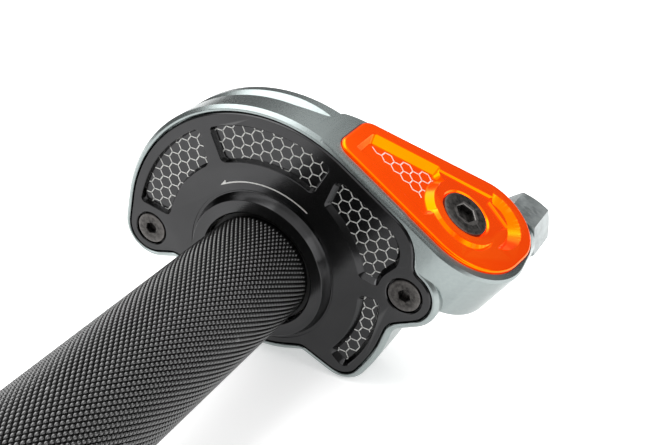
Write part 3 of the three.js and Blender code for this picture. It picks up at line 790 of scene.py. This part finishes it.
def cover_marks():
    segments = []
    for circles, inset, origin in POCKETS:
        floor = belt(circles, 0.05 - inset, 3.0)
        for a, b in hex_edges(origin, HEX_PITCH, HEX_TURN):
            kept = kept_part(a, b, floor)
            if kept:
                segments.append(kept)
    lines = line_strips(segments, LINE_WIDTH, FLOOR + 0.1, FLOOR - 0.03, y_frame)
    ship(lines, "honeycomb_lines", "casing", SILVER_LINE)
    band = arc((0, 0), ARROW_OUTER, ARROW_START, ARROW_NECK, 1.5)
    band += [polar(ARROW_OUTER + 0.8, ARROW_NECK - 0.6), polar(ARROW_OUTER - 0.2, ARROW_TIP)]
    band += arc((0, 0), ARROW_INNER, ARROW_NECK, ARROW_START, 1.5)
    arrow = prism(band, -0.03, 0.1, y_frame)
    ship(arrow, "rotation_arrow", "casing", SILVER_LINE)


# ---- Orange plate ------------------------------------------------------------------------------


PLATE_SCALE = 1.0143
PANEL_DEPTH = 1.9
SHELF_DIP = 0.026  # fall of the flat round the screw, for each unit away from the near edge
PLATE_LINE_WIDTH = 0.34
BOSS = 10.2
BOSS_SLOPE = 2.1  # how far the boss's wall spreads on its way down to the panel


def on_plate(u, v):
    """A place on the plate, measured from the axle screw in the plate's own units."""
    return ROLLER[0] + u * PLATE_SCALE, ROLLER[1] + v * PLATE_SCALE


def sunk_panel():
    """Cutter of the plate's long panel: a flat floor between slanting walls, next to the screw's boss."""
    angles = range(158, 242, 4)
    top = [(-31.9, -13.9), (-31.9, -4.7), (-31.0, -3.4), (-13.8, 6.6), (-12.6, 5.4), (-11.4, 4.5)]
    low = [(-30.3, -12.3), (-30.3, -6.9), (-29.6, -5.7), (-13.4, 3.4), (-12.9, 3.2), (-12.5, 2.9)]
    top += [polar(BOSS, a) for a in angles]
    low += [polar(BOSS + BOSS_SLOPE, 165 + (a - angles[0]) * 0.82) for a in angles]
    top += [(-6.2, -11.8), (-7.4, -13.9)]
    low += [(-7.9, -11.9), (-8.6, -12.3)]
    edge = [(*on_plate(u, v), PLATE_TOP + 0.02) for u, v in top]
    rings = [[(s, y, PLATE_TOP + 2) for s, y, _ in edge], edge]
    for across, down in ((0.13, 0.05), (0.8, 0.9), (1.0, 1.0)):
        outline = [(u + across * (u2 - u), v + across * (v2 - v)) for (u, v), (u2, v2) in zip(top, low)]
        rings.append([(*on_plate(u, v), PLATE_TOP - down * PANEL_DEPTH) for u, v in outline])
    return loft(rings, tail_frame)


def swept_groove(section, centre, start, end, fade_start, fade_end, step=2.5):
    """A groove round centre, from start to end degrees.

    Its section of (radius, depth) shrinks to nothing at each end, over the degrees of that end's fade.
    """
    middle = section[0][0]
    count = math.ceil(abs(end - start) / step)
    rings = []
    for k in range(count + 1):
        angle = start + (end - start) * k / count
        ease = min(1.0, (angle - start + 0.6) / fade_start, (end - angle + 0.6) / fade_end) ** 0.6
        points = [(middle + (r - middle) * ease, PLATE_TOP - d * ease) for r, d in section]
        closing = [(points[-1][0], PLATE_TOP + 1.5), (points[0][0], PLATE_TOP + 1.5)]
        rings.append([(*polar(r, angle, centre), h) for r, h in points + closing])
    return loft(rings, tail_frame)


def step_round_screw():
    """Cutter of the flat round the screw, which falls away from the near edge to a step on the far side."""
    outline = [(-13.4, 5.4), (2.4, 14.4), (2.6, 11.6), (11.0, 9.0), (9.4, 3.4), (9.9, -1.5)]
    outline += [(3.0, -9.0), (-9.4, -3.4), (-10.9, 2.0)]
    edge = [(*on_plate(u, v), PLATE_TOP + 0.01) for u, v in outline]
    above = [(s, y, PLATE_TOP + 1) for s, y, _ in edge]
    low = []
    for u, v in outline:
        depth = SHELF_DIP * max(0.0, v + 9.0)
        low.append((*on_plate(u * 0.955, v * 0.955), PLATE_TOP - depth))
    return loft([above, edge, low], tail_frame)


def plate():
    levels = [
        (-0.5, PLATE_LIP), (0.0, PLATE_LIP + 0.3), (0.0, PLATE_TOP - 0.75), (-0.06, PLATE_TOP - 0.5),
        (-0.22, PLATE_TOP - 0.22), (-0.45, PLATE_TOP - 0.06), (-0.7, PLATE_TOP),
    ]
    body = slab(PLATE_BELT, levels, tail_frame)
    tongue = slab(PLATE_BELT, [(-TONGUE, PLATE_BOTTOM), (-TONGUE, PLATE_LIP + 1)], tail_frame)
    body = fused(body, tongue)
    head = SCREW_HEAD + 0.25
    seat = SCREW_HEAD_SEAT
    counterbore = turned(
        [(0, seat), (head, seat), (head, PLATE_TOP - 0.75), (head + 0.5, PLATE_TOP - 0.35),
         (head + 0.5, BEYOND), (0, BEYOND)],
        tail_frame, ROLLER,
    )
    hole = disc(AXLE + 0.4, 40, BEYOND, tail_frame, ROLLER)
    ring = [(10.35, 0.0), (11.6, 1.15), (11.85, 1.15), (12.0, 0.22), (12.5, 0.0)]
    near_ring = swept_groove(ring, ROLLER, -128, -10, 0.5, 34.0)
    wall = [(10.5, 0.0), (10.3, 0.12), (7.5, 2.0), (6.6, 2.0), (6.2, 0.7), (5.8, 0.4)]
    crescent = swept_groove(wall, PLATE_BELT[1][:2], -48, 112, 60.0, 1.0)
    body = cut(body, counterbore, hole, sunk_panel(), near_ring, crescent, step_round_screw())
    ship(body, "roller_plate_shell", "casing", ORANGE, ["roller_cover_plate"])


def plate_marks():
    """The fine honeycomb on the panel's floor: three short rows of cells, with loose ends."""
    pitch, row_step = 3.4, 2.944
    side = pitch / math.sqrt(3)
    lowest = -5.25
    rows = [lowest + k * row_step for k in range(3)]
    edges = {}
    for first, v, count in ((-24.4, rows[0], 4), (-19.3, rows[1], 2), (-14.2, rows[2], 1)):
        for k in range(count):
            corners = [polar(side, 30 + 60 * n, (first + k * pitch, v)) for n in range(6)]
            for a, b in zip(corners, corners[1:] + corners[:1]):
                edges.setdefault((round(a[0] + b[0], 1), round(a[1] + b[1], 1)), (a, b))
    left, right = -24.4 - pitch / 2, -14.2 + pitch / 2
    below, above, top = rows[0] - side / 2, rows[0] + side / 2, rows[2] + side / 2
    stub = 0.8 * side
    for u, v, angle in ((left, below, 210), (right, below, 330), (right, above, 30), (right, top, 30)):
        edges[u, v] = ((u, v), polar(stub, angle, (u, v)))
    edges["tail"] = (polar(stub, 210, (left, below)), (left - 3.2, below - 0.2))

    def place(u, v, w):
        return tail_frame(*on_plate(u, v), PLATE_TOP - PANEL_DEPTH + w)

    lines = line_strips(list(edges.values()), PLATE_LINE_WIDTH, -0.06, 0.03, place)
    ship(lines, "plate_honeycomb", "casing", PALE_LINE)


# ---- Screws ------------------------------------------------------------------------------------


def socket_screw(name, profile, place, centre, across_flats, floor, mouth, replaces, turn):
    """A turned screw whose head has a hexagon socket from its mouth down to its floor."""
    body = turned(profile, place, centre, 72)
    corner = across_flats / math.sqrt(3)
    outward = mouth + 3 * (mouth - floor)
    rings = []
    for scale, w in ((1.0, floor), (1.0, mouth - 0.1 * (mouth - floor)), (1.1, mouth), (1.1, outward)):
        rings.append([(*polar(corner * scale, turn + 60 * k, centre), w) for k in range(6)])
    ship(cut(body, loft(rings, place)), name, "casing", OXIDE, replaces)


def cover_screw(name, centre, turn):
    profile = [
        (0, 0.0), (3.0, 0.0), (4.3, 0.06), (4.62, 0.22), (4.75, 0.55), (4.75, 1.9),
        (2.2, 1.9), (2.2, 12.6), (1.8, 13.0), (0, 13.0),
    ]
    socket_screw(f"{name}_detailed", profile, y_frame, centre, 3.2, 1.9, 0.0, [name], turn)


def axle_screw():
    top = PLATE_TOP - 0.1
    under = top - 2.2
    profile = [
        (0, 29.9), (AXLE - 0.4, 29.9), (AXLE, 30.3), (AXLE, under), (SCREW_HEAD, under),
        (SCREW_HEAD, top - 0.75), (SCREW_HEAD - 0.2, top - 0.3), (SCREW_HEAD - 0.7, top - 0.08),
        (4.2, top), (0, top),
    ]
    name = "roller_axle_screw"
    socket_screw(f"{name}_detailed", profile, tail_frame, ROLLER, 5.4, top - 1.9, top, [name], 14.0)


def clamp_bolt(name, side):
    centre = (side * CLAMP_BOLT_X, CLAMP_BOLT_Y)
    profile = [
        (0, -12.2), (3.9, -12.2), (4.5, -11.6), (4.5, -7.7), (2.3, -7.7), (2.3, 6.6), (1.9, 7.0), (0, 7.0),
    ]
    socket_screw(f"{name}_detailed", profile, z_frame, centre, 4.0, -9.7, -12.2, [name], 10.0)


# ---- Grip --------------------------------------------------------------------------------------

KNURL_STARTS = 74
KNURL_ROW = 1.175  # along the grip, from one row of diamonds to the next
KNURL_SHIFT = 0.5525  # how far each row is turned, as a share of one diamond
KNURL_DEPTH = 0.5
KNURL_RINGS = ((0.66, GRIP_RADIUS - 0.16), (0.36, GRIP_RADIUS))  # share of the cell, radius


def knurled_sleeve():
    """The rubber sleeve: a flat-topped diamond in each cell of two crossing families of grooves."""
    starts = KNURL_STARTS
    lip = 6.0  # length of the plain free end
    rows = int((GRIP_BACK - GRIP_FRONT - lip - 0.4) / KNURL_ROW)
    first = GRIP_BACK - 0.4 - rows * KNURL_ROW
    vertices, faces = [], []

    def point(radius, row, turn):
        angle = 2 * math.pi * (turn + KNURL_SHIFT * row) / starts
        vertices.append((radius * math.cos(angle), first + row * KNURL_ROW, radius * math.sin(angle)))
        return len(vertices) - 1

    low = GRIP_RADIUS - KNURL_DEPTH
    valleys = [[point(low, row, k + 0.5) for k in range(starts)] for row in range(rows + 1)]

    def valley(row, k):
        return valleys[row][k % starts]

    for row in range(1, rows):
        for k in range(starts):
            ring = [valley(row, k - 1), valley(row + 1, k - 1), valley(row, k), valley(row - 1, k)]
            sides = ((-0.5, 0), (0, 1), (0.5, 0), (0, -1))
            for share, radius in KNURL_RINGS:
                inner = [
                    point(radius, row + share * along, k + share * (turn - 0.5 * along))
                    for turn, along in sides
                ]
                faces += [(ring[n], ring[(n + 1) % 4], inner[(n + 1) % 4], inner[n]) for n in range(4)]
                ring = inner
            faces.append(tuple(ring))
    for k in range(starts):
        faces.append((valley(0, k), valley(0, k + 1), valley(1, k)))
        faces.append((valley(rows, k - 1), valley(rows, k), valley(rows - 1, k)))

    def end_piece(profile, ring, row):
        """The plain turned end beyond a row of valleys, closed by a flat at its last radius."""
        for radius, along in profile:
            after = []
            for k in range(starts):
                x, z = polar(radius, 360 * (k + 0.5 + KNURL_SHIFT * row) / starts)
                vertices.append((x, along, z))
                after.append(len(vertices) - 1)
            for k in range(starts):
                follower = (k + 1) % starts
                faces.append((ring[k], ring[follower], after[follower], after[k]))
            ring = after
        faces.append(tuple(ring))

    edge = first - 0.25
    end_piece(
        [(GRIP_RADIUS - 0.1, edge), (GRIP_RADIUS, edge - 0.15), (GRIP_RADIUS, GRIP_FRONT + 1.6),
         (GRIP_RADIUS - 0.3, GRIP_FRONT + 0.7), (GRIP_RADIUS - 1.1, GRIP_FRONT + 0.12),
         (GRIP_RADIUS - 1.8, GRIP_FRONT), (5.2, GRIP_FRONT), (4.6, GRIP_FRONT + 0.8),
         (2.0, GRIP_FRONT + 0.8)],
        valleys[0], 0,
    )
    bore = TUBE_RADIUS + GAP
    end_piece(
        [(low, GRIP_BACK), (bore, GRIP_BACK), (bore, GRIP_FRONT + 3.0), (1.0, GRIP_FRONT + 3.0)],
        valleys[rows], rows,
    )
    return mesh_object(vertices, faces)


def grip():
    """The sleeve's diamonds stay smooth all round, so that each one shines like a bead."""
    ship(
        knurled_sleeve(), "grip_sleeve_knurled", "twist_grip", RUBBER, ["grip_sleeve"],
        smooth=75, weighted=False,
    )


# ---- Cable adjuster ----------------------------------------------------------------------------


def adjuster():
    centre = (ADJUSTER_S, WIRE_RADIUS)
    front, back = ADJUSTER_FRONT, ADJUSTER_BACK
    hexagon = [polar(ADJUSTER_CORNER, 71 + 60 * k, centre) for k in range(6)]
    barrel = loft([[(*p, front) for p in hexagon], [(*p, back) for p in hexagon]], adjuster_frame)
    outside = ADJUSTER_CORNER + 0.1
    chamfers = turned(
        [(0, front), (7.9, front), (outside, front + 0.5), (outside, back - 1.0),
         (ADJUSTER_CORNER - 1.5, back), (0, back)],
        adjuster_frame, centre,
    )
    barrel = clipped(barrel, chamfers)
    tip, root, crest = 34.6, 4.1, 4.6
    pitch, turns = 0.8, 10
    thread = [(0, tip)]
    for k in range(turns):
        thread += [(root, tip + pitch * k), (crest, tip + pitch * (k + 0.5))]
    thread += [(root, tip + pitch * turns), (root, front + 1), (0, front + 1)]
    barrel = fused(barrel, turned(thread, adjuster_frame, centre, 48))
    bore = turned(
        [(0, 30), (1.6, 30), (1.6, 49), (3.1, 49), (3.1, back - 0.4), (3.5, back + 0.1), (3.5, 60), (0, 60)],
        adjuster_frame, centre, 48,
    )
    ship(cut(barrel, bore), "cable_adjuster_hex", "adjuster", WORN, ["cable_adjuster"])


# ---- Stage, light and camera -------------------------------------------------------------------


def stage():
    """A white floor just under the object, which glows a little round it and fades out further off."""
    size, height = 6.0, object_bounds()[0][2] - 0.0004
    mesh = bpy.data.meshes.new("floor")
    mesh.from_pydata(
        [(-size, -size, height), (size, -size, height), (size, size, height), (-size, size, height)],
        [], [(0, 1, 2, 3)],
    )
    floor = linked(mesh)
    look = Surface(
        "white_floor", 0.0, Base_Color=(0.88, 0.88, 0.88, 1.0), Roughness=0.9,
        Emission_Color=(1.0, 1.0, 1.0, 1.0),
    )
    lit = look.node("ShaderNodeMapping", {"Vector": look.place, "Scale": (0.8, 0.8, 0.8)})
    pool = look.node("ShaderNodeTexGradient", {"Vector": lit.outputs["Vector"]}, gradient_type="SPHERICAL")
    glow = look.spread(pool.outputs["Fac"], 0.0, 0.46, 0.2, 0.75)
    look.tree.links.new(glow, look.shader.inputs["Emission Strength"])
    mesh.materials.append(look.material)
    floor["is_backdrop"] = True


SKY = [(0.0, 0.12), (0.3, 0.12), (0.53, 0.27), (0.58, 0.34), (0.62, 1.3), (0.7, 1.3), (1.0, 1.2)]


def world():
    """A grey surround that turns bright overhead; each of SKY's stops is (height, brightness)."""
    scene_world = bpy.data.worlds.new("studio")
    scene_world.use_nodes = True
    bpy.context.scene.world = scene_world
    nodes, links = scene_world.node_tree.nodes, scene_world.node_tree.links
    place = nodes.new("ShaderNodeTexCoord")
    split = nodes.new("ShaderNodeSeparateXYZ")
    ramp = nodes.new("ShaderNodeValToRGB")
    links.new(place.outputs["Generated"], split.inputs[0])
    links.new(split.outputs["Z"], ramp.inputs[0])
    ramp.color_ramp.elements[0].position = SKY[0][0]
    ramp.color_ramp.elements[1].position = SKY[-1][0]
    for height, _ in SKY[1:-1]:
        ramp.color_ramp.elements.new(height)
    for element, (_, level) in zip(ramp.color_ramp.elements, SKY):
        element.color = (level, level, level, 1.0)
    links.new(ramp.outputs["Color"], nodes["Background"].inputs["Color"])


def area_light(name, place, aim, size, power):
    data = bpy.data.lights.new(name, "AREA")
    data.shape = "RECTANGLE"
    data.size, data.size_y = size
    data.energy = power
    light = bpy.data.objects.new(name, data)
    bpy.context.scene.collection.objects.link(light)
    light.location = place
    light.rotation_euler = (Vector(aim) - Vector(place)).to_track_quat("-Z", "Y").to_euler()


CAMERA_PLACE = (0.13946, -0.21439, 0.15288)
CAMERA_AZIMUTH = 28.45
CAMERA_ELEVATION = 28.656
FOCAL_LENGTH = 57.17


def camera():
    data = bpy.data.cameras.new("camera")
    data.lens = FOCAL_LENGTH
    data.sensor_width = 36.0
    data.clip_start = 0.01
    data.dof.use_dof = False
    eye = bpy.data.objects.new("camera", data)
    bpy.context.scene.collection.objects.link(eye)
    eye.location = CAMERA_PLACE
    tilt = math.radians(90 - CAMERA_ELEVATION)
    eye.rotation_euler = Euler((tilt, 0.0, math.radians(CAMERA_AZIMUTH)))
    bpy.context.scene.camera = eye


camera()
world()
area_light("key_softbox", (-0.42, 0.02, 0.78), (0.0, 0.0, 0.0), (1.2, 0.9), 9.6)
area_light("right_softbox", (0.78, 0.0, 0.29), (0.04, 0.0, 0.02), (0.5, 0.46), 1.7)

housing()
clamp_cap()
front_cover()
cover_marks()
plate()
cover_screw("cover_screw_left", LEFT_SCREW, 12.0)
cover_screw("cover_screw_right", RIGHT_SCREW, 40.0)
axle_screw()
clamp_bolt("clamp_bolt_left", -1)
clamp_bolt("clamp_bolt_right", 1)
plate_marks()
grip()
adjuster()

CAD_LOOKS = {
    "throttle_tube": BLACK, "cable_drum": ALUMINIUM, "front_glide_ring": PLASTIC, "rear_bush": PLASTIC,
    "dust_seal": SEAL, "cable_roller": ALUMINIUM, "bearing_outer_race": STEEL,
    "bearing_inner_race": STEEL, "bearing_ball_cage": STEEL, "bearing_shield_lower": STEEL,
    "bearing_shield_upper": STEEL, "roller_spacer_lower": ALUMINIUM, "roller_spacer_upper": ALUMINIUM,
    **{f"drum_screw_{k}": OXIDE for k in range(1, 5)},
}
for node, look in CAD_LOOKS.items():
    target = frame["nodes"][node]
    target.data.materials.clear()
    target.data.materials.append(look)
    target.data.shade_smooth()
    target.data.set_sharp_from_angle(angle=math.radians(35))

bpy.context.scene.view_settings.view_transform = "Standard"
stage()
